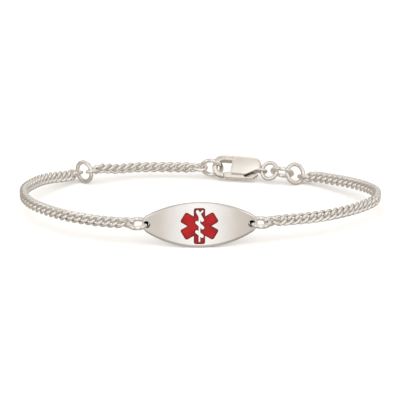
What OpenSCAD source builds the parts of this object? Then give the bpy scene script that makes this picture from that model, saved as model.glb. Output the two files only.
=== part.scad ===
// Medical alert bracelet: a curved oval identity plate with an enamelled six-armed medical star,
// two curb chains, an extension chain with its sizing ring, and a lobster clasp with three jump rings.
// The loop stands on its edge, fastened, with the plate at the front (-Y) and the clasp at the back.

/* [Plate] */
// Length of the plate, tip to tip
plate_l = 22.3; // [20:0.1:26]
// Height of the plate at its middle
plate_h = 9.0; // [8:0.1:12]
// Thickness of the plate
plate_t = 1.0; // [0.8:0.05:1.4]
// Radius of the two blunt tips of the oval
plate_tip_r = 2.0; // [1.6:0.1:2.6]
// Radius that the plate is bent to, at its mid thickness
plate_bend_r = 55; // [40:1:90]
// Diameter of the hole in each tip
plate_hole_d = 1.3; // [1.2:0.05:1.6]
// Width of metal between the hole and the tip on the left
left_hole_wall = 0.2; // [0.2:0.05:0.6]
// Width of metal between the hole and the tip on the right
right_hole_wall = 0.45; // [0.2:0.05:0.6]

/* [Star] */
// Height of the star, tip to tip
star_h = 7.2; // [6:0.1:8]
// Width of the upright arms of the star
star_arm_w = 2.15; // [1.8:0.05:2.5]
// Length of the star along its slanted arms, tip to tip
star_side_l = 7.35; // [6:0.05:8]
// Width of the slanted arms of the star
star_side_w = 2.4; // [1.8:0.05:2.6]
// Radius of the corners of the arms
star_corner_r = 0.4; // [0.2:0.05:0.6]
// Depth of the recess that the enamel fills
star_depth = 0.35; // [0.2:0.05:0.5]
// Width of the staff in the middle of the star
staff_w = 0.4; // [0.3:0.05:0.6]
// Width of the serpent's body
serpent_w = 0.72; // [0.5:0.02:0.8]

/* [Rings] */
// Wire of the jump rings
ring_wire = 0.82; // [0.7:0.01:0.9]
// Wire of the smaller ring on the clasp
clasp_ring_wire = 0.78; // [0.7:0.01:0.9]
// Outer diameter of the sizing ring and of the ring at the extension's end
ring_d = 4.72; // [4.6:0.02:5]
// Outer diameter of the smaller ring on the clasp's eye
clasp_ring_d = 4.06; // [4:0.02:4.3]
// Outer diameter of the two rings that hold the plate
plate_ring_d = 4.35; // [4.2:0.05:4.6]
// Outer diameter of the ring in the middle of the three at the back
middle_ring_d = 4.8; // [4.6:0.02:5]
// Outer diameter of the ring that ends the right chain
back_ring_d = 4.58; // [4.4:0.02:4.8]

/* [Chain] */
// Wire of the curb links
link_wire = 0.47; // [0.42:0.01:0.52]
// Width of the chain
link_w = 1.95; // [1.9:0.01:2.1]
// Distance from one link to the next
link_pitch = 1.56; // [1.5:0.01:1.62]
// Gap between a link and the next one's end, inside the chain
link_gap = 0.16; // [0.12:0.01:0.2]
// Angle that each end of a link is twisted by
link_twist = 55; // [50:1:60]
// Side clearance of a jump ring's wire in the end links
end_link_gap = 0.15; // [0.12:0.01:0.2]
// Clearance between a jump ring's wire and the end of the link that hangs on it
end_gap = 0.16; // [0.1:0.01:0.2]

/* [Clasp] */
// Height of the clasp's hook across its face
clasp_h = 4.4; // [4.1:0.1:4.6]
// Thickness of the clasp
clasp_t = 2.4; // [2.2:0.1:2.8]
// Length from the middle of the hook's curve to the end of the body
clasp_l = 7.65; // [7.4:0.05:8.2]
// Width of the bar of the hook
hook_w = 1.0; // [0.9:0.05:1.1]
// Thickness of the bar of the hook
hook_t = 1.4; // [1.2:0.05:1.8]
// How far the two faces of the body are domed
clasp_dome = 0.4; // [0.2:0.05:0.6]
// Thickness of the lever
lever_t = 1.2; // [1:0.05:1.4]
// Diameter of the lever's pin
pin_d = 0.7; // [0.6:0.05:0.8]
// Wire of the eye at the end of the clasp
eye_wire = 0.55; // [0.5:0.05:0.6]

/* [Hidden] */

silver = [0.80, 0.78, 0.75];
enamel_red = [0.72, 0.07, 0.08];

// Clearances
enamel_gap = 0.03;
pin_gap = 0.03;
lever_gap = 0.06;
eye_gap = 0.14;
// How far the middle of the eye stands out from the end of the clasp's body
eye_out = 0.25;
// Wall of the lever's boss around its pin, and depth of the pin's ends below the cheeks
boss_wall = 0.4;
pin_sunk = 0.1;
over = 1;

// Middle of the whole loop in the frame that the places below are given in
loop_middle = [0.03, 0.77, 0];
// Where the pieces stand. The plate's middle, the height of its centre, and its slight turn
plate_at = [0, -23.4, plate_h / 2];
plate_turn = 2;
// Middle of the star, from the plate's middle
star_at = [-0.12, -0.13];
// Middle of the clasp, its turn along the loop and the angle that it leans back by
clasp_at = [7.35, 23.7, 2.47];
clasp_turn = -11.5;
clasp_lean = 38;
// Height of the middle of a ring that stands on its edge, and the tip of the back ring, which does so too
function resting_z(outer_d, tip) = (outer_d - ring_wire) / 2 * sin(tip) + ring_wire / 2;
back_ring_tip = 110.9;
// Tilt of the two plate rings, far side up
right_ring_tilt = 12;
left_ring_tilt = 14;
// Routes of the three chains between their end links
RIGHT_ROUTE = [[16, -20.1, 4.5], [18, -19.2, 4.4], [21.6, -17.7, 4.35], [25.5, -15.4, 4.3],
    [29.2, -12, 4.2], [32, -8.2, 4], [33.9, -4.8, 3.95], [34.6, -1.6, 3.95], [34.5, 1.6, 3.9],
    [33.4, 5.4, 3.6], [31.2, 9.9, 3.1], [28.3, 14, 2.65], [25.5, 17.3, 2.2], [23.5, 19.4, 1.95]];
LEFT_ROUTE = [[-26, 21, 1.8], [-27.6, 19.05, 2.1], [-29.4, 16.8, 2.55], [-31.5, 13, 3.1],
    [-33.1, 8.8, 3.5], [-34.2, 5, 3.8], [-34.6, 1.2, 3.95], [-34.2, -3, 4.05], [-32.7, -7.6, 4.15],
    [-30.4, -11.4, 4.25], [-27.3, -15, 4.3], [-24.5, -17.3, 4.3], [-20.2, -19.7, 4.3], [-16.5, -21, 4.3]];
EXTENSION_ROUTE = [[-19.6, 22.1, 2.95], [-17.9, 23.1, 2.65], [-16.2, 23.9, 2.4],
    [-13.3, 25, 2.35], [-8.8, 25.6, 2.3], [-3.9, 25.4, 2.3], [-1.4, 25.2, 2.3]];

// Sizes that follow. A ring's radius is that of the middle of its wire
plate_ring_r = (plate_ring_d - ring_wire) / 2;
ring_r = (ring_d - ring_wire) / 2;
clasp_ring_r = (clasp_ring_d - clasp_ring_wire) / 2;
middle_ring_r = (middle_ring_d - ring_wire) / 2;
back_ring_r = (back_ring_d - ring_wire) / 2;
link_core_w = link_w - link_wire;
// An end link is wide enough for a ring's wire, and longer than a pitch and a wire by its slack
end_link_slack = 0.5;
end_link_w = ring_wire + link_wire + 2 * end_link_gap;
end_link_l = link_pitch + link_wire + end_link_slack;
// Sections along a link's wire, sides of each section, and steps of a route's curve from point to point
link_sections = 12;
link_sides = 6;
route_steps = 8;

function unit(v) = v / norm(v);

// Moves a piece so that the whole loop is centred over the origin
module centred() { translate(-loop_middle) children(); }

// Point at share t between points i and i + 1 of a smooth curve through a list of points
function curve_point(p, i, t) =
    let (a = p[max(i - 1, 0)], b = p[i], c = p[i + 1], d = p[min(i + 2, len(p) - 1)])
    let (start_slope = (c - a) / 2, end_slope = (d - b) / 2)
    b * (2 * pow(t, 3) - 3 * t * t + 1) + start_slope * (pow(t, 3) - 2 * t * t + t)
    + c * (3 * t * t - 2 * pow(t, 3)) + end_slope * (pow(t, 3) - t * t);

function curve(p) = concat(
    [for (i = [0 : len(p) - 2]) for (k = [0 : route_steps - 1]) curve_point(p, i, k / route_steps)],
    [p[len(p) - 1]]);

// Distance along a list of points, from its start to each point
function distances(p) =
    [for (i = 0, s = 0; i < len(p); i = i + 1, s = i < len(p) ? s + norm(p[i] - p[i - 1]) : s) s];

// Point of a list at a distance s along it, carried straight on past either end
function along(p, far, s) =
    let (last = len(p) - 1)
    let (found = [for (i = [0 : last - 1]) if (far[i + 1] >= s) i])
    let (i = s <= 0 ? 0 : len(found) > 0 ? found[0] : last - 1)
    p[i] + (p[i + 1] - p[i]) * (s - far[i]) / (far[i + 1] - far[i]);

// Point of a link's wire at angle t. The link lies along X and is as wide as Y; twists are its two ends'
function wire_point(l, w, twists, t) =
    let (c = cos(t), s = sin(t))
    let (x = l / 2 * sign(c) * pow(abs(c), 0.85), r = w / 2 * sign(s) * pow(abs(s), 0.85))
    let (turn = c < 0 ? twists[0] * c : twists[1] * c)
    [x, r * cos(turn), -r * sin(turn)];

// Corners of the wire's section at angle t
function wire_section(l, w, twists, t) =
    let (p = wire_point(l, w, twists, t))
    let (way = unit(wire_point(l, w, twists, t + 10) - wire_point(l, w, twists, t - 10)))
    let (out = unit(p - way * (p * way)), side = cross(way, out))
    [for (k = [0 : link_sides - 1]) let (a = 360 * (k + 0.5) / link_sides)
        p + link_wire / 2 * (out * cos(a) + side * sin(a))];

// One link, placed by its middle, the way it lies and the direction of its width
module link(at, way, up, twists, l, w) {
    side = cross(way, up);
    turns = [for (i = [0 : link_sections - 1]) 360 * (i + 0.5) / link_sections];
    local = [for (t = turns) each wire_section(l, w, twists, t)];
    points = [for (p = local) at + way * p.x + up * p.y + side * p.z];
    corner = function (i, k) (i % link_sections) * link_sides + k % link_sides;
    faces = [for (i = [0 : link_sections - 1]) for (k = [0 : link_sides - 1]) each [
        [corner(i, k), corner(i + 1, k), corner(i + 1, k + 1)],
        [corner(i, k), corner(i + 1, k + 1), corner(i, k + 1)]]];
    polyhedron(points, faces, convexity = 4);
}

// Direction that a ring faces, and the middle of its wire on the side nearest to a point
function ring_facing(placed) =
    [sin(placed[2]) * cos(placed[1]), sin(placed[2]) * sin(placed[1]), cos(placed[2])];
function ring_reach(placed, point) =
    let (facing = ring_facing(placed), to = point - placed[0])
    unit(to - facing * (to * facing));

// A link that hangs on a ring, pulled towards a point: its middle, its way and the ring's own way there
function hung_link(placed, outer_d, point) =
    let (reach = ring_reach(placed, point), wire_way = cross(ring_facing(placed), reach))
    let (wire_at = placed[0] + reach * (outer_d - ring_wire) / 2, to = point - wire_at)
    let (way = unit(to - wire_way * (to * wire_way)))
    [wire_at + way * ((end_link_l - link_wire - ring_wire) / 2 - end_gap), way, wire_way];

function frame_up(way) = unit([0, 0, 1] - way * way.z);

// Twist shared by the two ends that meet where an end link, whose width lies along up, joins the chain.
// It makes them cross as two ordinary links do. end is 1 at the start of a chain and -1 at its end.
function meeting_twist(way, link_up, up, end) =
    let (a = end * atan2(up * cross(way, link_up), up * link_up), lean = a - 180 * round(a / 180))
    lean < 0 ? lean / 2 + link_twist : lean / 2 - link_twist;

// A run of curb links along a route, between two links that each hang on a jump ring
module curb_chain(route, first, last) {
    path = curve(concat([first[0]], route, [last[0]]));
    far = distances(path);
    count = round(far[len(far) - 1] / link_pitch) + 1;
    step = far[len(far) - 1] / (count - 1);
    ways = [for (k = [0 : count - 1])
        unit(along(path, far, (k + 0.5) * step) - along(path, far, (k - 0.5) * step))];
    first_up = cross(first[2], first[1]);
    last_up = cross(last[2], last[1]);
    first_twist = meeting_twist(ways[1], frame_up(ways[1]), first_up, 1);
    last_twist = meeting_twist(ways[count - 2], frame_up(ways[count - 2]), last_up, -1);
    for (k = [1 : count - 2])
        link(along(path, far, k * step), ways[k], frame_up(ways[k]),
            [k == 1 ? first_twist : link_twist, k == count - 2 ? last_twist : link_twist],
            step + link_wire + link_gap, link_core_w);
    link(first[0], first[1], first_up, [0, first_twist], end_link_l, end_link_w);
    link(last[0], last[1], last_up, [0, last_twist], end_link_l, end_link_w);
}

module jump_ring(placed, outer_d, wire = ring_wire) {
    color(silver) centred() translate(placed[0]) rotate([0, placed[2], placed[1]])
        rotate_extrude($fn = 96) translate([(outer_d - wire) / 2, 0]) circle(d = wire, $fn = 32);
}

// Oval of four arcs: a long flat arc above and below, and a small one at each tip
module plate_outline() {
    half_l = plate_l / 2;
    half_h = plate_h / 2;
    tip_x = half_l - plate_tip_r;
    long_r = (pow(tip_x, 2) + pow(half_h, 2) - pow(plate_tip_r, 2)) / (2 * (half_h - plate_tip_r));
    meet_x = tip_x * long_r / (long_r - plate_tip_r);
    intersection() {
        translate([0, half_h - long_r]) circle(r = long_r, $fn = 240);
        translate([0, long_r - half_h]) circle(r = long_r, $fn = 240);
        square([2 * meet_x, 2 * plate_h], center = true);
    }
    for (side = [-1, 1]) translate([side * tip_x, 0]) circle(r = plate_tip_r, $fn = 96);
}

// Part of a bent sheet between two depths below the plate's front face
module bent_sheet(front, back) {
    front_r = plate_bend_r + plate_t / 2;
    translate([0, plate_bend_r, -plate_h]) difference() {
        cylinder(r = front_r - front, h = 2 * plate_h, $fn = 360);
        translate([0, 0, -over]) cylinder(r = front_r - back, h = 2 * plate_h + 2 * over, $fn = 360);
    }
}

// A flat outline turned to face the front, deep enough to cut the bent plate
module facing_front() {
    rotate([90, 0, 0]) linear_extrude(height = 2 * plate_t + 2, center = true) children();
}

module stroke(from, to, w) {
    way = to - from;
    translate(from) rotate(atan2(way.y, way.x)) {
        translate([0, -w / 2]) square([norm(way), w]);
        circle(d = w, $fn = 48);
        translate([norm(way), 0]) circle(d = w, $fn = 48);
    }
}

module star_outline(grow) {
    r = star_corner_r;
    translate(star_at) for (turn = [0, 60, 120]) rotate(turn) {
        arm_l = (turn == 0 ? star_h : star_side_l) + 2 * grow;
        arm_w = (turn == 0 ? star_arm_w : star_side_w) + 2 * grow;
        square([arm_w - 2 * r, arm_l], center = true);
        square([arm_w, arm_l - 2 * r], center = true);
        for (x = [-1, 1], y = [-1, 1]) translate([x * (arm_w / 2 - r), y * (arm_l / 2 - r)])
            circle(r = r, $fn = 48);
    }
}

// Staff and serpent: places as shares of the star's half height
STROKES = [[[-0.1, 0.8], [0.15, 0.33]], [[-0.13, 0.2], [0.17, -0.09]], [[-0.14, -0.32], [0.14, -0.56]]];
STAFF = [[0, -0.84], [0, 0.6]];
PRONG = [[0.01, 0.66], [0.17, 0.84]];
module emblem_outline(grow) {
    half = star_h / 2;
    translate(star_at) {
        for (s = [STAFF, PRONG]) stroke(s[0] * half, s[1] * half, staff_w + 2 * grow);
        for (s = STROKES) stroke(s[0] * half, s[1] * half, serpent_w + 2 * grow);
    }
}

module on_plate() {
    centred() translate(plate_at) rotate([0, 0, plate_turn]) children();
}

module id_plate() {
    color(silver) on_plate() {
        difference() {
            intersection() {
                bent_sheet(0, plate_t);
                facing_front() plate_outline();
            }
            intersection() {
                bent_sheet(-over, star_depth);
                facing_front() star_outline(0);
            }
            translate([0, plate_bend_r, 0]) for (side = [-1, 1]) rotate([0, 0, hole_turn(side)])
                translate([0, -plate_bend_r, 0]) rotate([90, 0, 0])
                    cylinder(d = plate_hole_d, h = 2 * plate_t, center = true, $fn = 64);
        }
        intersection() {
            bent_sheet(0, star_depth + plate_t / 4);
            facing_front() emblem_outline(0);
        }
    }
}

// Place of a hole along the plate, and the angle that it is turned by around the bend's axis
function hole_x(side) =
    side * (plate_l / 2 - plate_hole_d / 2) - (side > 0 ? right_hole_wall : -left_hole_wall);
function hole_turn(side) = asin(hole_x(side) / plate_bend_r);

module star_enamel() {
    color(enamel_red) on_plate() intersection() {
        bent_sheet(enamel_gap, star_depth - enamel_gap);
        facing_front() difference() {
            star_outline(-enamel_gap);
            emblem_outline(enamel_gap);
        }
    }
}

// Middle of the plate's hole on one side
function hole_at(side) =
    let (x = hole_x(side), y = plate_bend_r - plate_bend_r * cos(hole_turn(side)))
    plate_at + [x * cos(plate_turn) - y * sin(plate_turn), x * sin(plate_turn) + y * cos(plate_turn), 0];

// Plate ring on one side. It lies square to the hole, with the middle of its wire in the hole's middle
function plate_ring_placed(side, tilt) =
    let (way = plate_turn + hole_turn(side))
    [hole_at(side) + side * plate_ring_r * [cos(way), sin(way), 0], way - 90, tilt];
RIGHT_RING = plate_ring_placed(1, right_ring_tilt);
LEFT_RING = plate_ring_placed(-1, left_ring_tilt);

// The clasp lies along X with its face to the front. Places across its face are shares: along its length
// from the middle of the hook's curve, and up or down by half its height
clasp_half_h = clasp_h / 2;
hook_x = -0.36 * clasp_l;
hook_z = 0.1;
function on_face(p) = [hook_x + p.x * clasp_l, p.y * clasp_half_h];
hook_corner_r = 0.4;
hook_mid_r = clasp_half_h - hook_w / 2;
window_x = on_face([0.23, 0]).x;
body_end_x = hook_x + clasp_l;
body_end_r = 0.7 * clasp_half_h;
body_top = hook_z + 0.975 * clasp_half_h;
body_end_top = 0.955 * clasp_half_h;
eye_z = on_face([1, -0.09]).y;
eye_x = body_end_x + eye_out;
eye_r = ring_wire / 2 + eye_gap + eye_wire / 2;
pin_at = [on_face([0.425, 0]).x, 0, -0.36 * clasp_half_h];
// Reach from the pin to the hook's end, which the end of the lever turns inside
gate_r = 0.4 * clasp_l;
slot_t = lever_t + 2 * lever_gap;
slot_top = 0.23 * clasp_half_h;
slot_end_x = on_face([0.82, 0]).x;
// Lower edge of the cheeks, from the window to the eye, in the face's shares
CHEEK_EDGE = [[0.23, -0.68], [0.595, -0.725], [0.75, -0.635], [0.95, -0.225], [1, -0.09]];
// Lever, in the same shares: its lower edge to the end of the tail, and back along its upper edge
LEVER_EDGE = [[0, -0.5], [0, -0.93], [0.15, -1], [0.712, -1], [0.83, -0.885], [0.915, -0.635],
    [0.948, -0.43], [0.908, -0.385], [0.856, -0.615], [0.79, -0.75], [0.7, -0.825], [0.608, -0.825],
    [0.562, -0.545], [0.477, -0.09], [0.36, -0.09], [0.28, -0.385], [0.203, -0.43]];

// A point of the clasp, in the frame of the loop
function clasp_point(p) =
    let (down = p.y * cos(clasp_lean) + p.z * sin(clasp_lean))
    clasp_at + [p.x * cos(clasp_turn) - down * sin(clasp_turn),
        p.x * sin(clasp_turn) + down * cos(clasp_turn), p.z * cos(clasp_lean) - p.y * sin(clasp_lean)];

// Rings at the back: middle, direction that the ring faces, and how far it faces down from upwards.
// One hangs in the clasp's hook. The others go on from the eye, each some shares of the radii from the last
SIZING_RING = [[-23, 21.8, resting_z(ring_d, 90)], 46, 90];
END_RING = [clasp_point([hook_x - hook_mid_r - 0.344 * ring_r, 0.07 * ring_r, 0]), 83.9, 61.6];
CLASP_RING = [clasp_point([eye_x, 0, eye_z]) + clasp_ring_r * [0.897, -0.484, 0.156], 59.3, 115];
MIDDLE_RING = [CLASP_RING[0] + (clasp_ring_r + middle_ring_r) * [0.692, -0.292, 0.014], 74.3, 36.2];
back_ring_middle = MIDDLE_RING[0] + (middle_ring_r + back_ring_r) * [0.669, 0.108, 0];
BACK_RING = [[back_ring_middle.x, back_ring_middle.y, resting_z(back_ring_d, back_ring_tip)],
    125.1, back_ring_tip];
module plate_ring_right() { jump_ring(RIGHT_RING, plate_ring_d); }
module plate_ring_left() { jump_ring(LEFT_RING, plate_ring_d); }

module chain_right() {
    color(silver) centred() curb_chain(RIGHT_ROUTE, hung_link(RIGHT_RING, plate_ring_d, RIGHT_ROUTE[0]),
        hung_link(BACK_RING, back_ring_d, RIGHT_ROUTE[len(RIGHT_ROUTE) - 1]));
}
module chain_left() {
    color(silver) centred() curb_chain(LEFT_ROUTE, hung_link(SIZING_RING, ring_d, LEFT_ROUTE[0]),
        hung_link(LEFT_RING, plate_ring_d, LEFT_ROUTE[len(LEFT_ROUTE) - 1]));
}
module extension_chain() {
    color(silver) centred() curb_chain(EXTENSION_ROUTE,
        hung_link(SIZING_RING, ring_d, EXTENSION_ROUTE[0]),
        hung_link(END_RING, ring_d, EXTENSION_ROUTE[len(EXTENSION_ROUTE) - 1]));
}

module sizing_ring() { jump_ring(SIZING_RING, ring_d); }
module end_ring() { jump_ring(END_RING, ring_d); }
module clasp_ring() { jump_ring(CLASP_RING, clasp_ring_d, clasp_ring_wire); }
module middle_ring() { jump_ring(MIDDLE_RING, middle_ring_d); }
module back_ring() { jump_ring(BACK_RING, back_ring_d); }

module in_clasp() {
    centred() translate(clasp_at) rotate([0, 0, clasp_turn]) rotate([-clasp_lean, 0, 0]) children();
}
module across_clasp(thick) {
    rotate([90, 0, 0]) linear_extrude(height = thick, center = true) children();
}

// Section of the bar of the hook, with round corners
module hook_section() {
    square([hook_w - 2 * hook_corner_r, hook_t], center = true);
    square([hook_w, hook_t - 2 * hook_corner_r], center = true);
    for (x = [-1, 1], y = [-1, 1])
        translate([x * (hook_w / 2 - hook_corner_r), y * (hook_t / 2 - hook_corner_r)])
            circle(r = hook_corner_r, $fn = 32);
}

// Hook: half a ring that ends in an arc round the lever's pin, and the straight bar above the window
module clasp_hook() {
    difference() {
        intersection() {
            translate([hook_x, 0, hook_z]) rotate([90, 0, 0]) rotate_extrude($fn = 96)
                translate([hook_mid_r, 0]) hook_section();
            union() {
                translate([hook_x - clasp_h, -clasp_t, -clasp_h])
                    cube([clasp_h, 2 * clasp_t, 2 * clasp_h]);
                translate([hook_x - over, -clasp_t, -clasp_h])
                    cube([hook_w + over, 2 * clasp_t, clasp_h]);
            }
        }
        pin_along(2 * gate_r, 2 * clasp_t);
    }
    translate([hook_x, 0, hook_z + hook_mid_r]) rotate([0, 90, 0])
        linear_extrude(height = window_x - hook_x + 1) hook_section();
}

// Face of the body: a long top edge, a round end and the cheeks' lower edge
module clasp_face() {
    end_middle = [body_end_x - body_end_r, body_end_top - body_end_r];
    polygon(concat([for (p = CHEEK_EDGE) on_face(p)],
        [[body_end_x, end_middle.y], end_middle + [0, body_end_r], [window_x, body_top]]));
    translate(end_middle) circle(r = body_end_r, $fn = 96);
}

// The body is cut by two wide cylinders along the clasp, so that both faces are domed
module clasp_solid() {
    dome_r = (pow(clasp_half_h, 2) + pow(clasp_dome, 2)) / (2 * clasp_dome);
    intersection() {
        across_clasp(clasp_t) clasp_face();
        translate([0, dome_r - clasp_t / 2, 0]) rotate([0, 90, 0])
            cylinder(r = dome_r, h = 4 * clasp_h, center = true, $fn = 180);
        translate([0, clasp_t / 2 - dome_r, 0]) rotate([0, 90, 0])
            cylinder(r = dome_r, h = 4 * clasp_h, center = true, $fn = 180);
    }
}

module pin_along(d, l) {
    translate(pin_at) rotate([90, 0, 0]) cylinder(d = d, h = l, center = true, $fn = 48);
}

module clasp_body() {
    color(silver) in_clasp() difference() {
        union() {
            clasp_solid();
            clasp_hook();
            translate([eye_x, 0, eye_z]) rotate_extrude($fn = 64)
                translate([eye_r, 0]) circle(d = eye_wire, $fn = 32);
        }
        translate([window_x - over, -slot_t / 2, -clasp_h])
            cube([slot_end_x - window_x + over, slot_t, slot_top + clasp_h]);
        translate([eye_x, 0, eye_z])
            cylinder(r = eye_r - eye_wire / 2, h = clasp_h, center = true, $fn = 64);
        pin_along(pin_d + 2 * pin_gap, 2 * clasp_t);
    }
}

// Lever: the gate that shuts the hook, a round boss on the pin, and a thin thumb tail below the body
module clasp_lever() {
    color(silver) in_clasp() across_clasp(lever_t) difference() {
        union() {
            translate([pin_at.x, pin_at.z]) circle(r = pin_d / 2 + boss_wall, $fn = 64);
            intersection() {
                polygon([for (p = LEVER_EDGE) on_face(p)]);
                union() {
                    translate([pin_at.x, pin_at.z]) circle(r = gate_r - lever_gap, $fn = 180);
                    translate([pin_at.x, -clasp_h]) square([clasp_l, 2 * clasp_h]);
                }
            }
        }
        translate([pin_at.x, pin_at.z]) circle(d = pin_d + 2 * pin_gap, $fn = 48);
    }
}

module clasp_pin() { color(silver) in_clasp() pin_along(pin_d, clasp_t - 2 * pin_sunk); }

id_plate();
star_enamel();
plate_ring_right();
plate_ring_left();
chain_right();
chain_left();
extension_chain();
sizing_ring();
end_ring();
clasp_body();
clasp_lever();
clasp_pin();
clasp_ring();
middle_ring();
back_ring();
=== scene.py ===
"""A medical alert bracelet in polished silver: curb chain, enamelled plate, jump rings and a lobster clasp.

Sizes and places are in millimetres, as in the part's source, and meshes are turned into metres when made."""
import math
from functools import partial

import bpy
import numpy as np
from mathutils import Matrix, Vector
from mathutils.geometry import delaunay_2d_cdt


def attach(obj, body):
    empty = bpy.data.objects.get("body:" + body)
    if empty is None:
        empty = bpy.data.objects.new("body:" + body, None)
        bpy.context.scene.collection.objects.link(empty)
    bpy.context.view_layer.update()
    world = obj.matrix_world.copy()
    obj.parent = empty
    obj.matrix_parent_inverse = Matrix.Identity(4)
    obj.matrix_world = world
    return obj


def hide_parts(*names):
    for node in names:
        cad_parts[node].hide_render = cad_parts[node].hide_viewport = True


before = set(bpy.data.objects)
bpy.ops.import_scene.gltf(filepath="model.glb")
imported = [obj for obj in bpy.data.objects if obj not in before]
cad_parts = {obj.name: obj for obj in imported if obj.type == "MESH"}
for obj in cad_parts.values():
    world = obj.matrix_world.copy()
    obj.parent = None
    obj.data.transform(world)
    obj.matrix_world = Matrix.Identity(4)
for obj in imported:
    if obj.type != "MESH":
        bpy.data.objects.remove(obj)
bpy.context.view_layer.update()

MM = 0.001
LOOP = "loop"
LEVER = "lever"

# The plate: a bent oval sheet
PLATE_L, PLATE_H, PLATE_T = 22.3, 9.0, 1.0
PLATE_TIP_R = 2.0
PLATE_BEND_R = 55.0
PLATE_HOLE_D = 1.3
HOLE_WALL = {-1: 0.2, 1: 0.45}
PLATE_AT = np.array([0.0, -23.4, PLATE_H / 2])
PLATE_TURN = 2.0
# The round of its edge across the face and into its thickness, and how much wider it is at the bottom
EDGE_ROUND_W, EDGE_ROUND_T = 0.30, 0.25
LOW_EDGE_WIDER = 1.2
# The round of the holes' rims, and how much narrower they are at the back
HOLE_ROUND, HOLE_TAPER = 0.06, 0.14
# Points along each tip and side of its outline and round a hole, and the spacing of those that fill a face
TIP_STEPS, SIDE_STEPS, HOLE_STEPS = 32, 72, 49
FRONT_STEP, BACK_STEP = 0.5, 0.8

# The star in its recess, and the staff and serpent on it as shares of the star's half height
STAR_AT = np.array([-0.12, -0.13])
STAR_H, STAR_ARM_W = 7.2, 2.15
STAR_SIDE_L, STAR_SIDE_W = 7.35, 2.28
STAR_CORNER_R = 0.44
STAR_DEPTH, STAR_LIP = 0.35, 0.05
STAFF_W, SERPENT_W = 0.4, 0.72
STAFF = ((0.0, -0.84), (0.0, 0.6))
PRONG = ((0.01, 0.66), (0.17, 0.84))
SERPENT = (((-0.1, 0.8), (0.15, 0.33)), ((-0.13, 0.2), (0.17, -0.09)), ((-0.14, -0.32), (0.14, -0.56)))

# Chain
LINK_WIRE = 0.47
# The drawn links touch, as real ones do: thicker wire, and a shape that keeps neighbours just clear
DRAWN_WIRE, DRAWN_W, DRAWN_LONGER, DRAWN_TWIST = 0.69, 1.6, 0.85, 65.0
LINK_PITCH = 1.56
END_LINK_GAP, END_GAP, END_LINK_SLACK = 0.15, 0.16, 0.5
RING_WIRE = 0.82
END_LINK_W = RING_WIRE + LINK_WIRE + 2 * END_LINK_GAP
END_LINK_L = LINK_PITCH + LINK_WIRE + END_LINK_SLACK
# Below 1 a link's ends are squarer than an ellipse's
LINK_POWER = 0.85
LINK_TURNS, LINK_SIDES = 40, 12
ROUTE_STEPS = 8

# Middle of the whole loop in the frame that the plate, the clasp and the routes are given in
LOOP_MIDDLE = np.array([0.03, 0.77, 0.0])
# Routes of the chains between their end links
RIGHT_ROUTE = [(16, -20.1, 4.5), (18, -19.2, 4.4), (21.6, -17.7, 4.35), (25.5, -15.4, 4.3),
               (29.2, -12, 4.2), (32, -8.2, 4), (33.9, -4.8, 3.95), (34.6, -1.6, 3.95), (34.5, 1.6, 3.9),
               (33.4, 5.4, 3.6), (31.2, 9.9, 3.1), (28.3, 14, 2.65), (25.5, 17.3, 2.2), (23.5, 19.4, 1.95)]
LEFT_ROUTE = [(-26, 21, 1.8), (-27.6, 19.05, 2.1), (-29.4, 16.8, 2.55), (-31.5, 13, 3.1),
              (-33.1, 8.8, 3.5), (-34.2, 5, 3.8), (-34.6, 1.2, 3.95), (-34.2, -3, 4.05), (-32.7, -7.6, 4.15),
              (-30.4, -11.4, 4.25), (-27.3, -15, 4.3), (-24.5, -17.3, 4.3), (-20.2, -19.7, 4.3),
              (-16.5, -21, 4.3)]
EXTENSION_ROUTE = [(-19.6, 22.1, 2.95), (-17.9, 23.1, 2.65), (-16.2, 23.9, 2.4),
                   (-13.3, 25, 2.35), (-8.8, 25.6, 2.3), (-3.9, 25.4, 2.3), (-1.4, 25.2, 2.3)]
# Each chain's route, its first and last ring, and the degrees that its first and last links are rolled by
CHAINS = {"chain_right": (RIGHT_ROUTE, "plate_ring_right", "back_ring", -30, 35),
          "chain_left": (LEFT_ROUTE, "sizing_ring", "plate_ring_left", 30, -35),
          "extension_chain": (EXTENSION_ROUTE, "sizing_ring", "end_ring", 40, 20)}

# Clasp. Its frame has X along the clasp and its face towards -Y
CLASP_AT = np.array([7.35, 23.7, 2.47])
CLASP_TURN, CLASP_LEAN = -11.5, 38.0
CLASP_H, CLASP_T, CLASP_L = 4.4, 2.4, 7.65
HOOK_W, HOOK_T, HOOK_CORNER_R = 1.0, 1.4, 0.4
CLASP_DOME = 0.4
LEVER_T, LEVER_GAP = 1.2, 0.06
PIN_D, PIN_GAP, BOSS_WALL = 0.7, 0.03, 0.4
EYE_WIRE, EYE_GAP, EYE_OUT = 0.55, 0.14, 0.25


def unit(v):
    return v / np.linalg.norm(v)


def smooth(share):
    """A share from 0 to 1 that starts and ends level."""
    return share * share * (3 - 2 * share)


def new_object(name, verts, faces, material, body, normals=None, replaces=()):
    """A mesh in metres from points in millimetres, riding on a body and standing for CAD nodes."""
    mesh = bpy.data.meshes.new(name)
    mesh.from_pydata((np.asarray(verts) * MM).tolist(), [], [list(map(int, f)) for f in faces])
    mesh.update()
    mesh.shade_smooth()
    if normals is not None:
        mesh.normals_split_custom_set_from_vertices(np.asarray(normals).tolist())
    mesh.materials.append(material)
    made = bpy.data.objects.new(name, mesh)
    bpy.context.scene.collection.objects.link(made)
    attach(made, body)
    if replaces:
        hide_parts(*replaces)
    return made


def give(piece, name, values):
    """Stores one number for each of a piece's points."""
    made = piece.data.attributes.new(name, "FLOAT", "POINT")
    made.data.foreach_set("value", np.asarray(values, np.float32))


# Camera

PIXELS_PER_MM = 5.1
PHOTO_SIDE = 400
CAMERA_ELEVATION = 16.0
CAMERA_DISTANCE = 1400.0
AIM_HEIGHT = 2.774
SENSOR_WIDTH = 36


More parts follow.
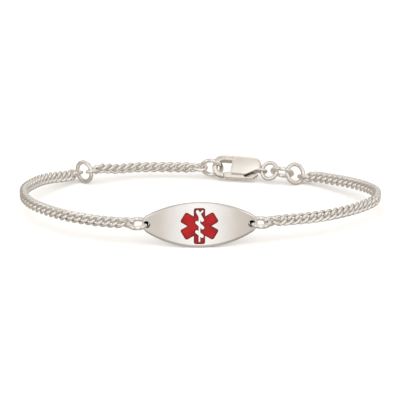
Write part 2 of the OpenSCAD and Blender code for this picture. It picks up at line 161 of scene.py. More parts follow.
def make_camera():
    data = bpy.data.cameras.new("camera")
    camera = bpy.data.objects.new("camera", data)
    bpy.context.scene.collection.objects.link(camera)
    e = math.radians(CAMERA_ELEVATION)
    back = Vector((0, -math.cos(e), math.sin(e)))
    aim = Vector((-LOOP_MIDDLE[0], -LOOP_MIDDLE[1], AIM_HEIGHT))
    camera.location = (aim + back * CAMERA_DISTANCE) * MM
    camera.rotation_euler = (-back).to_track_quat("-Z", "Y").to_euler()
    data.sensor_width = SENSOR_WIDTH
    data.lens = SENSOR_WIDTH * CAMERA_DISTANCE * PIXELS_PER_MM / PHOTO_SIDE
    data.clip_start, data.clip_end = 0.05, 20
    bpy.context.scene.camera = camera


# Materials

class Tree:
    """Short names for building a node tree."""

    def __init__(self, owner):
        owner.use_nodes = True
        self.tree = owner.node_tree
        self.tree.nodes.clear()

    def node(self, kind, **settings):
        n = self.tree.nodes.new(kind)
        for key, value in settings.items():
            setattr(n, key, value)
        return n

    def link(self, a, b):
        self.tree.links.new(a, b)

    def put(self, socket, value):
        if isinstance(value, bpy.types.NodeSocket):
            self.link(value, socket)
        else:
            socket.default_value = value

    def math(self, operation, *values, clamp=False):
        n = self.node("ShaderNodeMath", operation=operation, use_clamp=clamp)
        for socket, value in zip(n.inputs, values):
            self.put(socket, value)
        return n.outputs[0]

    def ramp(self, value, stops):
        n = self.node("ShaderNodeValToRGB")
        self.link(value, n.inputs[0])
        marks = n.color_ramp.elements
        while len(marks) < len(stops):
            marks.new(0.5)
        for mark, (place, colour) in zip(marks, stops):
            mark.position = place
            mark.color = (*colour, 1)
        return n.outputs[0]

    def mix(self, share, a, b):
        n = self.node("ShaderNodeMix", data_type="RGBA")
        self.put(n.inputs[0], share)
        self.put(n.inputs[6], a)
        self.put(n.inputs[7], b)
        return n.outputs[2]

    def noise(self, where, scale, detail, rough):
        n = self.node("ShaderNodeTexNoise")
        n.inputs["Scale"].default_value = scale
        n.inputs["Detail"].default_value = detail
        n.inputs["Roughness"].default_value = rough
        self.link(where, n.inputs["Vector"])
        return n.outputs[0]

    def bump(self, height, strength, distance):
        n = self.node("ShaderNodeBump")
        n.inputs["Strength"].default_value = strength
        n.inputs["Distance"].default_value = distance
        self.link(height, n.inputs["Height"])
        return n.outputs[0]

    def surface(self, shader):
        out = self.node("ShaderNodeOutputMaterial")
        self.link(shader.outputs[0], out.inputs["Surface"])


# Scale for each metre, detail and roughness of each noise
SMUDGES, GRAIN, BRUSH_MARKS = (450, 4, 0.6), (9000, 3, 0.7), (1500, 5, 0.7)
ENAMEL_CLOUDS, ENAMEL_SPECKS = (700, 3, 0.5), (2500, 3, 0.6)
BRUSH_SHORTER = 30
BRUSH_SHARE, GRAIN_SHARE = 0.6, 0.4
SCRATCH_DEPTH, SPECK_DEPTH = 0.00001, 0.00002
SMUDGE_DARKER, SMUDGE_ROUGHER = 0.05, 0.14
# Colour of the painted shade in the plate's holes and along the sides of the clasp's body
PAINTED_SHADE_COLOUR = (0.13, 0.115, 0.10, 1)
ENAMEL_DARK, ENAMEL_LIGHT = (0.20, 0.0024, 0.003), (0.31, 0.0042, 0.005)
# Dark red painted shade along the enamel's rim at the recess's wall and round the raised bars
ENAMEL_RIM_SHADE_COLOUR = (0.055, 0.004, 0.007, 1)
# The values of a noise at which its darkest and lightest tones are reached
NOISE_LOW, NOISE_HIGH = 0.3, 0.7


def silver_material(name, colour, rough, scratch, metallic=1.0):
    """Polished silver: a fine haze of small scratches, soft smudges and a slightly uneven polish, with dark
    painted shade mixed in on the points that a piece marks for it.
    """
    material = bpy.data.materials.new(name)
    t = Tree(material)
    place = t.node("ShaderNodeTexCoord").outputs["Object"]
    smudge = t.noise(place, *SMUDGES)
    grain = t.noise(place, *GRAIN)
    stretch = t.node("ShaderNodeMapping")
    stretch.inputs["Scale"].default_value = (1, 1, BRUSH_SHORTER)
    t.link(place, stretch.inputs["Vector"])
    brushed = t.noise(stretch.outputs[0], *BRUSH_MARKS)
    shader = t.node("ShaderNodeBsdfPrincipled")
    shader.inputs["Metallic"].default_value = metallic
    darker = [c * (1 - SMUDGE_DARKER) for c in colour]
    tone = t.ramp(smudge, [(NOISE_LOW, darker), (NOISE_HIGH, colour)])
    # Painted shade: a share for each point, set by the plate and the clasp, that mixes in the dark colour
    painted_shade = t.node("ShaderNodeAttribute", attribute_name="painted_shade").outputs["Fac"]
    t.link(t.mix(painted_shade, tone, PAINTED_SHADE_COLOUR), shader.inputs["Base Color"])
    uneven = t.math("MULTIPLY_ADD", smudge, SMUDGE_ROUGHER, rough - SMUDGE_ROUGHER / 2)
    t.link(uneven, shader.inputs["Roughness"])
    height = t.math("ADD", t.math("MULTIPLY", brushed, BRUSH_SHARE), t.math("MULTIPLY", grain, GRAIN_SHARE))
    t.link(t.bump(height, scratch, SCRATCH_DEPTH), shader.inputs["Normal"])
    t.surface(shader)
    return material


def enamel_material():
    """Glossy red enamel, thinner along its rim and painted darker there as shade, with fine specks of glass.
    """
    material = bpy.data.materials.new("enamel_red")
    t = Tree(material)
    place = t.node("ShaderNodeTexCoord").outputs["Object"]
    body = t.ramp(t.noise(place, *ENAMEL_CLOUDS), [(NOISE_LOW, ENAMEL_DARK), (NOISE_HIGH, ENAMEL_LIGHT)])
    rim = t.node("ShaderNodeAttribute", attribute_name="rim").outputs["Fac"]
    shader = t.node("ShaderNodeBsdfPrincipled")
    t.link(t.mix(rim, body, ENAMEL_RIM_SHADE_COLOUR), shader.inputs["Base Color"])
    shader.inputs["Roughness"].default_value = 0.28
    shader.inputs["Specular IOR Level"].default_value = 0.2
    shader.inputs["Coat Weight"].default_value = 0.07
    shader.inputs["Coat Roughness"].default_value = 0.06
    t.link(t.bump(t.noise(place, *ENAMEL_SPECKS), 0.12, SPECK_DEPTH), shader.inputs["Normal"])
    t.surface(shader)
    return material


# Colour, roughness and strength of the scratches
plate_silver = silver_material("silver_plate", (0.93, 0.905, 0.875), 0.13, 0.10)
wire_silver = silver_material("silver_wire", (0.93, 0.898, 0.858), 0.10, 0.15)
clasp_silver = silver_material("silver_clasp", (0.94, 0.885, 0.82), 0.17, 0.25, metallic=0.94)
enamel_red = enamel_material()


# Jump rings, measured on their nodes

def ring_of(node):
    """Middle, facing, radius to the wire's middle and wire of a ring's node."""
    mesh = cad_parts[node].data
    points = np.empty(len(mesh.vertices) * 3)
    mesh.vertices.foreach_get("co", points)
    points = np.unique(np.round(points.reshape(-1, 3) / MM, 4), axis=0)
    middle = points.mean(axis=0)
    _, _, axes = np.linalg.svd(points - middle, full_matrices=False)
    facing = axes[2]
    rise = (points - middle) @ facing
    reach = np.linalg.norm(points - middle - np.outer(rise, facing), axis=1)
    wire = 2 * np.abs(rise).max()
    return middle, facing, reach.max() - wire / 2, wire


# The rings, each with the direction that the seam between its two ends is turned to
RING_SEAMS = {"plate_ring_right": (0.3, 1, 0), "plate_ring_left": (-0.3, 1, 0), "sizing_ring": (0, 0, 1),
              "end_ring": (0.2, 1, 0), "clasp_ring": (0, -1, 1), "middle_ring": (0, 1, 0.5),
              "back_ring": (1, 0, 1)}
RINGS = {name: ring_of(name) for name in RING_SEAMS}
RING_TURNS, RING_SIDES = 112, 20
SEAM_DEPTH, SEAM_WIDTH = 0.05, 0.06
# The plate's rings are drawn in a slightly thicker wire, inside the same outer size
PLATE_RING_THICKER = 0.1


def make_ring(name, seam_to):
    """A jump ring of round wire, with the fine line where its two ends meet turned towards a direction."""
    middle, facing, radius, wire = RINGS[name]
    if name.startswith("plate_ring"):
        radius, wire = radius - PLATE_RING_THICKER / 2, wire + PLATE_RING_THICKER
    seam_to = np.array(seam_to, float)
    out = unit(seam_to - facing * (seam_to @ facing))
    side = np.cross(facing, out)
    seam = [k * SEAM_WIDTH / radius / 2 for k in range(-3, 4)]
    turns = np.concatenate([seam, np.linspace(seam[-1], 2 * math.pi + seam[0], RING_TURNS)[1:-1]])
    verts = []
    for a in turns:
        away = (a + math.pi) % (2 * math.pi) - math.pi
        dip = SEAM_DEPTH * math.exp(-(away * radius / SEAM_WIDTH * 2) ** 2)
        spoke = out * math.cos(a) + side * math.sin(a)
        for k in range(RING_SIDES):
            b = 2 * math.pi * k / RING_SIDES
            normal = spoke * math.cos(b) + facing * math.sin(b)
            verts.append(middle + spoke * radius + normal * (wire / 2 - dip))
    new_object(name + "_silver", verts, tube_faces(len(turns), RING_SIDES), wire_silver, LOOP,
               replaces=[name])


def tube_faces(rings, sides, start=0):
    faces = []
    for i in range(rings):
        for k in range(sides):
            a, b = i * sides + k, i * sides + (k + 1) % sides
            c, d = (i + 1) % rings * sides + (k + 1) % sides, (i + 1) % rings * sides + k
            faces.append([start + a, start + d, start + c, start + b])
    return faces


# Chains, on the same centrelines as the CAD links

def curve(points):
    points = np.array(points, float)
    made = []
    for i in range(len(points) - 1):
        a, b = points[max(i - 1, 0)], points[i]
        c, d = points[i + 1], points[min(i + 2, len(points) - 1)]
        for k in range(ROUTE_STEPS):
            t = k / ROUTE_STEPS
            made.append(b * (2 * t ** 3 - 3 * t * t + 1) + (c - a) / 2 * (t ** 3 - 2 * t * t + t)
                        + c * (3 * t * t - 2 * t ** 3) + (d - b) / 2 * (t ** 3 - t * t))
    return np.array(made + [points[-1]])


def along(path, far, s):
    i = int(np.clip(np.searchsorted(far, s) - 1, 0, len(path) - 2))
    return path[i] + (path[i + 1] - path[i]) * (s - far[i]) / (far[i + 1] - far[i])


def wire_point(length, width, twists, t):
    c, s = np.cos(t), np.sin(t)
    x = length / 2 * np.sign(c) * np.abs(c) ** LINK_POWER
    r = width / 2 * np.sign(s) * np.abs(s) ** LINK_POWER
    turn = np.radians(np.where(c < 0, twists[0], twists[1]) * c)
    return np.stack([x, r * np.cos(turn), -r * np.sin(turn)], axis=1)


def link_mesh(at, way, up, twists, length, width):
    side = np.cross(way, up)
    t = 2 * math.pi * (np.arange(LINK_TURNS) + 0.5) / LINK_TURNS
    half = math.pi / LINK_TURNS
    p = wire_point(length, width, twists, t)
    ahead = wire_point(length, width, twists, t + half) - wire_point(length, width, twists, t - half)
    ahead /= np.linalg.norm(ahead, axis=1)[:, None]
    out = p - ahead * (p * ahead).sum(axis=1)[:, None]
    out /= np.linalg.norm(out, axis=1)[:, None]
    across = np.cross(ahead, out)
    verts = []
    for i in range(LINK_TURNS):
        for k in range(LINK_SIDES):
            a = 2 * math.pi * k / LINK_SIDES
            q = p[i] + DRAWN_WIRE / 2 * (out[i] * math.cos(a) + across[i] * math.sin(a))
            verts.append(at + way * q[0] + up * q[1] + side * q[2])
    return verts


def hung_link(ring, point):
    """A link that hangs on a ring, pulled to a point: its middle, its way and the ring's own way there."""
    middle, facing, radius, _ = RINGS[ring]
    to = point - middle
    reach = unit(to - facing * (to @ facing))
    wire_way = np.cross(facing, reach)
    wire_at = middle + reach * radius
    to = point - wire_at
    way = unit(to - wire_way * (to @ wire_way))
    return wire_at + way * ((END_LINK_L - LINK_WIRE - RING_WIRE) / 2 - END_GAP), way, wire_way


def frame_up(way, roll):
    """The direction of a link's width: up, then rolled round the chain."""
    up = unit(np.array([0, 0, 1]) - way * way[2])
    roll = math.radians(roll)
    return up * math.cos(roll) + np.cross(way, up) * math.sin(roll)


def meeting_twist(link_up, way, up, end):
    """Twist shared by the two ends that meet where an end link joins the chain."""
    a = end * math.degrees(math.atan2(up @ np.cross(way, link_up), up @ link_up))
    lean = a - 180 * round(a / 180)
    return lean / 2 + (DRAWN_TWIST if lean < 0 else -DRAWN_TWIST)


def make_chain(name, route, first_ring, last_ring, first_roll, last_roll):
    route = np.array(route, float) - LOOP_MIDDLE
    first, last = hung_link(first_ring, route[0]), hung_link(last_ring, route[-1])
    path = curve([first[0], *route, last[0]])
    far = np.concatenate([[0], np.cumsum(np.linalg.norm(np.diff(path, axis=0), axis=1))])
    count = round(far[-1] / LINK_PITCH) + 1
    step = far[-1] / (count - 1)
    ways = [unit(along(path, far, (k + 0.5) * step) - along(path, far, (k - 0.5) * step))
            for k in range(count)]
    first_up, last_up = np.cross(first[2], first[1]), np.cross(last[2], last[1])
    rolls = np.linspace(first_roll, last_roll, count)
    ups = [frame_up(way, roll) for way, roll in zip(ways, rolls)]
    first_twist = meeting_twist(ups[1], ways[1], first_up, 1)
    last_twist = meeting_twist(ups[-2], ways[-2], last_up, -1)
    verts, faces = [], []

    def add(*link):
        faces.extend(tube_faces(LINK_TURNS, LINK_SIDES, len(verts)))
        verts.extend(link_mesh(*link))

    add(first[0], first[1], first_up, (0, first_twist), END_LINK_L, END_LINK_W)
    for k in range(1, count - 1):
        twists = (first_twist if k == 1 else DRAWN_TWIST, last_twist if k == count - 2 else DRAWN_TWIST)
        add(along(path, far, k * step), ways[k], ups[k], twists, step + DRAWN_LONGER, DRAWN_W)
    add(last[0], last[1], last_up, (0, last_twist), END_LINK_L, END_LINK_W)
    new_object(name + "_silver", verts, faces, wire_silver, LOOP, replaces=[name])


# The plate, on formulas of its outline and edge

def arc(middle, r, start, end, count):
    a = np.radians(np.linspace(start, end, count))
    return np.stack([middle[0] + r * np.cos(a), middle[1] + r * np.sin(a)], axis=1)


def oval(inset):
    """The plate's outline, an oval of four arcs, moved in by inset. It runs anticlockwise."""
    half_h = PLATE_H / 2
    tip_x = PLATE_L / 2 - PLATE_TIP_R
    long_r = (tip_x ** 2 + half_h ** 2 - PLATE_TIP_R ** 2) / (2 * (half_h - PLATE_TIP_R))
    low = half_h - long_r
    lean = math.degrees(math.atan2(-low, tip_x))
    return np.concatenate([
        arc((tip_x, 0), PLATE_TIP_R - inset, -lean, lean, TIP_STEPS)[:-1],
        arc((0, low), long_r - inset, lean, 180 - lean, SIDE_STEPS)[:-1],
        arc((-tip_x, 0), PLATE_TIP_R - inset, 180 - lean, 180 + lean, TIP_STEPS)[:-1],
        arc((0, -low), long_r - inset, 180 + lean, 360 - lean, SIDE_STEPS)[:-1]])


def rounded_oval(inset):
    """The outline moved in for the edge's round, which is wider along the plate's lower edge."""
    loop = oval(0)
    low = np.clip(-loop[:, 1] / (PLATE_H / 2), 0, 1)
    return loop - outward(loop) * (inset * (1 + LOW_EDGE_WIDER * low))[:, None]


def star(grow, corner=6):
    """The star's outline: six arms with round corners, anticlockwise, moved out by grow."""
    arms = []
    for k in range(6):
        upright = k % 3 == 1
        arms.append((math.radians(30 + 60 * k), (STAR_ARM_W if upright else STAR_SIDE_W) / 2 + grow,
                     (STAR_H if upright else STAR_SIDE_L) / 2 + grow))
    points = []
    for k, (a, half_w, reach) in enumerate(arms):
        b, next_w, _ = arms[(k + 1) % 6]
        ahead, left = np.array([math.cos(a), math.sin(a)]), np.array([-math.sin(a), math.cos(a)])
        r = STAR_CORNER_R
        turn = math.degrees(a)
        points.extend(arc((reach - r) * ahead - (half_w - r) * left, r, turn - 90, turn, corner))
        points.extend(arc((reach - r) * ahead + (half_w - r) * left, r, turn, turn + 90, corner))
        next_left = np.array([-math.sin(b), math.cos(b)])
        inner = np.linalg.solve(np.array([left, next_left]), np.array([half_w, -next_w]))
        points.append(inner)
    return np.array(points) + STAR_AT


def hole(side, grow):
    x = side * (PLATE_L / 2 - PLATE_HOLE_D / 2 - HOLE_WALL[side])
    return arc((x, 0), PLATE_HOLE_D / 2 + grow, 0, 360, HOLE_STEPS)[:-1]


PLATE_TURN_COS, PLATE_TURN_SIN = math.cos(math.radians(PLATE_TURN)), math.sin(math.radians(PLATE_TURN))
FRONT_R = PLATE_BEND_R + PLATE_T / 2


def on_plate(flat, depth):
    """Points of the bent plate from points of its flat outline and depths below its front."""
    x, z = flat[:, 0], flat[:, 1]
    y = PLATE_BEND_R - np.sqrt((FRONT_R - depth) ** 2 - x ** 2)
    turned = np.stack([x * PLATE_TURN_COS - y * PLATE_TURN_SIN, x * PLATE_TURN_SIN + y * PLATE_TURN_COS, z],
                      axis=1)
    return turned + PLATE_AT - LOOP_MIDDLE


def plate_normals(flat, sideways, face):
    """Normals from a sideways direction in the flat outline and the share that faces the front."""
    lean = np.arcsin(flat[:, 0] / FRONT_R)
    x = sideways[:, 0] + face * np.sin(lean)
    y = -face * np.cos(lean)
    n = np.stack([x * PLATE_TURN_COS - y * PLATE_TURN_SIN, x * PLATE_TURN_SIN + y * PLATE_TURN_COS,
                  sideways[:, 1]], axis=1)
    return n / np.linalg.norm(n, axis=1)[:, None]


def outward(loop):
    """Unit directions square to a closed anticlockwise loop."""
    way = np.roll(loop, -1, axis=0) - np.roll(loop, 1, axis=0)
    way /= np.linalg.norm(way, axis=1)[:, None]
    return np.stack([way[:, 1], -way[:, 0]], axis=1)


# Points nearer than this are one point, and a distance that nothing reaches
WELD, FAR = 1e-5, 1e9


def fill(loops, spare):
    """Triangles between the first loop and the others, with spare points inside for the bend."""
    points = [p for loop in loops for p in loop] + list(spare)
    edges, start = [], 0
    for loop in loops:
        n = len(loop)
        edges.extend((start + i, start + (i + 1) % n) for i in range(n))
        start += n
    verts, _, faces, *_ = delaunay_2d_cdt([Vector(p) for p in points], edges, [], 0, WELD)
    verts, faces = np.array([tuple(v) for v in verts]), np.array(faces)
    middles = verts[faces].mean(axis=1)
    keep = inside(loops[0], middles)
    for loop in loops[1:]:
        keep &= ~inside(loop, middles)
    return verts, faces[keep].tolist()


def inside(loop, points):
    """Whether each point lies within a closed loop."""
    x, y = points[:, 0], points[:, 1]
    found = np.zeros(len(points), bool)
    for (x0, y0), (x1, y1) in zip(loop, np.roll(loop, -1, axis=0)):
        with np.errstate(divide="ignore", invalid="ignore"):
            hit = ((y0 > y) != (y1 > y)) & (x < (x1 - x0) * (y - y0) / (y1 - y0) + x0)
        found ^= hit
    return found


def distance_to(loop, points):
    """How far each point is from a closed loop."""
    best = np.full(len(points), FAR)
    for a, b in zip(loop, np.roll(loop, -1, axis=0)):
        best = np.minimum(best, distance_to_segment(a, b, points))
    return best


def distance_to_segment(a, b, points):
    a, b = np.array(a, float), np.array(b, float)
    share = np.clip(((points - a) @ (b - a)) / ((b - a) @ (b - a)), 0, 1)
    return np.linalg.norm(points - a - share[:, None] * (b - a), axis=1)


def grid_points(step, box):
    """Points in staggered rows over a box that is given by its half sizes."""
    xs, ys = np.arange(-box[0], box[0], step), np.arange(-box[1], box[1], step)
    return np.concatenate([np.stack([xs + i % 2 * step / 2, np.full(len(xs), y)], axis=1)
                           for i, y in enumerate(ys)])


class Sheet:
    """Gathers the plate's faces and walls as one mesh with exact normals."""

    def __init__(self):
        self.verts, self.normals, self.faces = [], [], []
        self.sign = 1

    def add(self, verts, normals, faces):
        start = len(self.verts)
        self.verts.extend(verts)
        self.normals.extend(normals)
        self.faces.extend([start + i for i in f] for f in faces)

    def face(self, loops, depth, front, step):
        """A front or back face between its outer loop and the holes in it."""
        spare = grid_points(step, (PLATE_L / 2, PLATE_H / 2))
        keep = inside(loops[0], spare) & (distance_to(loops[0], spare) > step / 2)
        for loop in loops[1:]:
            keep &= ~inside(loop, spare) & (distance_to(loop, spare) > step / 2)
        flat, faces = fill(loops, spare[keep])
        normals = plate_normals(flat, np.zeros_like(flat), np.full(len(flat), 1.0 if front else -1.0))
        if not front:
            faces = [f[::-1] for f in faces]
        self.add(on_plate(flat, np.full(len(flat), depth)), normals, faces)

    def wall(self, shape, profile):
        """A wall that follows a shape. Each row of the profile is an offset, a depth and a facing angle."""
        rows, normals = [], []
        for offset, depth, angle in profile:
            loop = shape(offset)
            a = math.radians(angle)
            rows.append(on_plate(loop, np.full(len(loop), depth)))
            normals.append(plate_normals(loop, outward(loop) * math.cos(a) * self.sign,
                                         np.full(len(loop), math.sin(a))))
        n, faces = len(rows[0]), []
        for i in range(len(rows) - 1):
            for k in range(n):
                a, b = i * n + k, i * n + (k + 1) % n
                quad = [a, a + n, b + n, b]
                faces.append(quad if self.sign > 0 else quad[::-1])
        self.add(np.concatenate(rows), np.concatenate(normals), faces)


def round_edge(wide, deep, near, far, sign, steps=4):
    """Profile of a wall with round edges: offset, depth and how far the normal faces the front."""
    rows = []
    angles = [90 - 90 * k / steps for k in range(steps + 1)]
    for end, turns in ((near, angles), (far, [-a for a in angles[::-1]])):
        if end is None:
            continue
        for turn in turns:
            a = math.radians(turn)
            face = math.degrees(math.atan2(math.sin(a) / deep, math.cos(a) / wide))
            rows.append((-sign * wide * (1 - math.cos(a)),
                         end + deep * ((1 if end == near else -1) - math.sin(a)), face))
    return rows


def make_plate():
    sheet = Sheet()
    edge = rounded_oval(EDGE_ROUND_W)
    front_holes = [hole(side, HOLE_ROUND) for side in HOLE_WALL]
    back_holes = [hole(side, HOLE_ROUND - HOLE_TAPER) for side in HOLE_WALL]
    sheet.face([edge, *front_holes, star(STAR_LIP)], 0, True, FRONT_STEP)
    sheet.face([edge, *back_holes], PLATE_T, False, BACK_STEP)
    sheet.face([star(0)], STAR_DEPTH, True, BACK_STEP)
    sheet.wall(lambda offset: rounded_oval(-offset),
               round_edge(EDGE_ROUND_W, EDGE_ROUND_T, 0, PLATE_T, 1, steps=8))
    sheet.sign = -1
    before_holes = len(sheet.verts)
    hole_profile = [(offset - HOLE_TAPER * min(max(depth / PLATE_T, 0), 1), depth, angle)
                    for offset, depth, angle in round_edge(HOLE_ROUND, HOLE_ROUND, 0, PLATE_T, -1)]
    for side in HOLE_WALL:
        sheet.wall(partial(hole, side), hole_profile)
    after_holes = len(sheet.verts)
    sheet.wall(star, round_edge(STAR_LIP, STAR_LIP, 0, None, -1) + [(0, STAR_DEPTH, 0)])
    made = new_object("id_plate_silver", sheet.verts, sheet.faces, plate_silver, LOOP,
                      normals=sheet.normals, replaces=["id_plate"])
    # Painted shade: the holes' walls are coloured dark where shade falls inside them
    painted_shade = np.zeros(len(sheet.verts))
    painted_shade[before_holes:after_holes] = 1
    give(made, "painted_shade", painted_shade)


# Staff and serpent, made of rounded bars that stand up through the enamel

def bars():
    """The two ends and the width of each bar."""
    half = STAR_H / 2
    rows = [(STAFF, STAFF_W), (PRONG, STAFF_W)] + [(s, SERPENT_W) for s in SERPENT]
    return [(np.array(a) * half + STAR_AT, np.array(b) * half + STAR_AT, w) for (a, b), w in rows]


# Depth of the bars' tops below the plate's face, the round of their edges and the steps round an end
BAR_TOP, BAR_ROUND, BAR_STEPS = -0.01, 0.07, 17


def make_emblem():
    sheet = Sheet()
    for from_, to, width in bars():
        turn = math.degrees(math.atan2(*(to - from_)[::-1]))

        def shape(offset):
            r = width / 2 + offset
            return np.concatenate([arc(to, r, turn - 90, turn + 90, BAR_STEPS),
                                   arc(from_, r, turn + 90, turn + 270, BAR_STEPS)])

        profile = round_edge(BAR_ROUND, BAR_ROUND, BAR_TOP, None, 1) + [(0, STAR_DEPTH, 0)]
        sheet.wall(shape, profile)
        top = shape(profile[0][0])
        normals = plate_normals(top, np.zeros_like(top), np.ones(len(top)))
        sheet.add(on_plate(top, np.full(len(top), profile[0][1])), normals, [list(range(len(top)))])
    new_object("staff_and_serpent", sheet.verts, sheet.faces, plate_silver, LOOP,
               normals=sheet.normals)


# Depth of the enamel's surface, how much deeper it is at its rim, and the width of the rim
ENAMEL_TOP, ENAMEL_SAG, RIM_W = 0.045, 0.06, 0.16
ENAMEL_GAP, ENAMEL_STEP, ENAMEL_CORNER_STEPS = 0.005, 0.1, 8
# A row of points that follows the edge, so that the painted shade along the rim is even
RIM_ROW = 0.08
# The rim is weaker round the bars in depth, and its painted shade is stronger at the edge
BAR_SAG_SHARE, EDGE_RIM_SHARE = 0.6, 1.1


def make_enamel():
    """The enamel's surface sinks a little towards its rim and round the staff and serpent."""
    edge = star(-ENAMEL_GAP, ENAMEL_CORNER_STEPS)
    near = star(-RIM_ROW, ENAMEL_CORNER_STEPS)
    spare = grid_points(ENAMEL_STEP, (STAR_SIDE_L / 2 + 0.3, STAR_H / 2 + 0.3))
    keep = inside(edge, spare) & (distance_to(edge, spare) > 0.4 * ENAMEL_STEP)
    keep &= distance_to(near, spare) > 0.3 * ENAMEL_STEP
    flat, faces = fill([edge], np.concatenate([spare[keep], near]))
    to_edge = distance_to(edge, flat)
    to_bar = np.min([distance_to_segment(a, b, flat) - w / 2 for a, b, w in bars()], axis=0)
    rim = np.exp(-(to_edge / RIM_W) ** 2)
    bar_rim = np.exp(-(np.maximum(to_bar, 0) / RIM_W) ** 2)
    depth = ENAMEL_TOP + ENAMEL_SAG * np.maximum(rim, bar_rim * BAR_SAG_SHARE)
    verts = on_plate(flat, depth)
    low = on_plate(edge, np.full(len(edge), STAR_DEPTH - 0.02))
    n, start = len(edge), len(verts)
    ring = [int(np.argmin(np.linalg.norm(flat - p, axis=1))) for p in edge]
    skirt = [[ring[k], start + k, start + (k + 1) % n, ring[(k + 1) % n]] for k in range(n)]
    back = [list(range(start, start + n))[::-1]]
    made = new_object("star_enamel_red", np.concatenate([verts, low]), list(faces) + skirt + back, enamel_red,
                      LOOP, replaces=["star_enamel"])
    # Painted shade: the share of the dark rim colour, along the edge and round the bars
    rim = np.clip(np.maximum(rim * EDGE_RIM_SHARE, bar_rim), 0, 1)
    give(made, "rim", np.concatenate([rim, np.ones(n)]))


# The clasp's body and lever, as soft cast shapes found on a grid of distances

def clasp_frame():
    """Turns the clasp's own axes into the loop's: three rows, along it, into its face and up."""
    turn, lean = math.radians(CLASP_TURN), math.radians(CLASP_LEAN)
    along_x = np.array([math.cos(turn), math.sin(turn), 0])
    away = np.array([-math.sin(turn), math.cos(turn), 0])
    into = away * math.cos(lean) + np.array([0, 0, -math.sin(lean)])
    up = away * math.sin(lean) + np.array([0, 0, math.cos(lean)])
    return np.array([along_x, into, up])


# Places in the clasp's face, as shares of its length and half height where they follow these
HALF_H = CLASP_H / 2
HOOK_X, HOOK_Z = -0.36 * CLASP_L, 0.1
HOOK_MID_R = HALF_H - HOOK_W / 2
BODY_END_X = HOOK_X + CLASP_L
BODY_END_R = 0.7 * HALF_H
BODY_TOP, BODY_END_TOP = HOOK_Z + HALF_H, 0.955 * HALF_H
WINDOW_X = HOOK_X + 0.23 * CLASP_L
EYE_X, EYE_Z = BODY_END_X + EYE_OUT, -0.09 * HALF_H
EYE_R = RING_WIRE / 2 + EYE_GAP + EYE_WIRE / 2
PIN_X, PIN_Z = HOOK_X + 0.425 * CLASP_L, -0.36 * HALF_H
GATE_R = 0.4 * CLASP_L
SLOT_T, SLOT_TOP, SLOT_END_X = LEVER_T + 2 * LEVER_GAP, 0.23 * HALF_H, HOOK_X + 0.82 * CLASP_L
CHEEK_EDGE = [(0.23, -0.68), (0.55, -0.72), (0.62, -0.69), (0.93, -0.13), (1, -0.05)]
LEVER_EDGE = [(0, -0.5), (0, -0.93), (0.15, -1), (0.712, -1), (0.83, -0.885), (0.915, -0.635),
              (0.948, -0.43), (0.908, -0.385), (0.856, -0.615), (0.79, -0.75), (0.7, -0.825),
              (0.608, -0.825), (0.562, -0.545), (0.477, -0.09), (0.36, -0.09), (0.28, -0.385),
              (0.203, -0.43)]
# The face falls back towards the end of the body
END_FALL, END_FALL_FROM = 0.27, 0.8
# The body stands this much taller than the solid along its top
TOP_GROWTH = 0.3
# Where the hook swells from its own thickness to the body's
SWELL_FROM, SWELL_TO = HOOK_X - 1.7, HOOK_X + 0.4
# How far the hook's straight bar reaches into the body, and the slot stands out of it
BAR_IN, SLOT_OUT = 0.2, 0.02
# Widths of the soft edges and joins
BODY_SOFT, JOIN_SOFT, LEVER_SOFT = 0.35, 0.2, 0.15


def on_face(shares):
    return [(HOOK_X + x * CLASP_L, z * HALF_H) for x, z in shares]


def polygon_distance(x, z, points):
    """Signed distance in the clasp's face from a polygon, negative inside it."""
    best = np.full(x.shape, FAR)
    sign = np.ones(x.shape)
    for (ax, az), (bx, bz) in zip(points, points[1:] + points[:1]):
        ex, ez = bx - ax, bz - az
        wx, wz = x - ax, z - az
        share = np.clip((wx * ex + wz * ez) / (ex * ex + ez * ez), 0, 1)
        best = np.minimum(best, np.hypot(wx - share * ex, wz - share * ez))
        above, below, left = z >= az, z < bz, ex * wz > ez * wx
        flip = (above & below & left) | (~above & ~below & ~left)
        sign = np.where(flip, -sign, sign)
    return best * sign


def soft_min(a, b, k):
    """The smaller of two distances, rounded where they meet over a width k."""
    h = np.clip(0.5 + 0.5 * (b - a) / k, 0, 1)
    return b * (1 - h) + a * h - k * h * (1 - h)


def soft_max(a, b, k):
    return -soft_min(-a, -b, k)


def bar_distance(u, v):
    """Distance from a long bar of the hook's section, with u across its width and v across its thickness."""
    qu = np.abs(u) - (HOOK_W / 2 - HOOK_CORNER_R)
    qv = np.abs(v) - (HOOK_T / 2 - HOOK_CORNER_R)
    out = np.hypot(np.maximum(qu, 0), np.maximum(qv, 0))
    return out + np.minimum(np.maximum(qu, qv), 0) - HOOK_CORNER_R


def grown(u, growth):
    """The place across a bar whose outer side is moved out."""
    return np.where(u > 0, np.maximum(u - growth, 0), u)


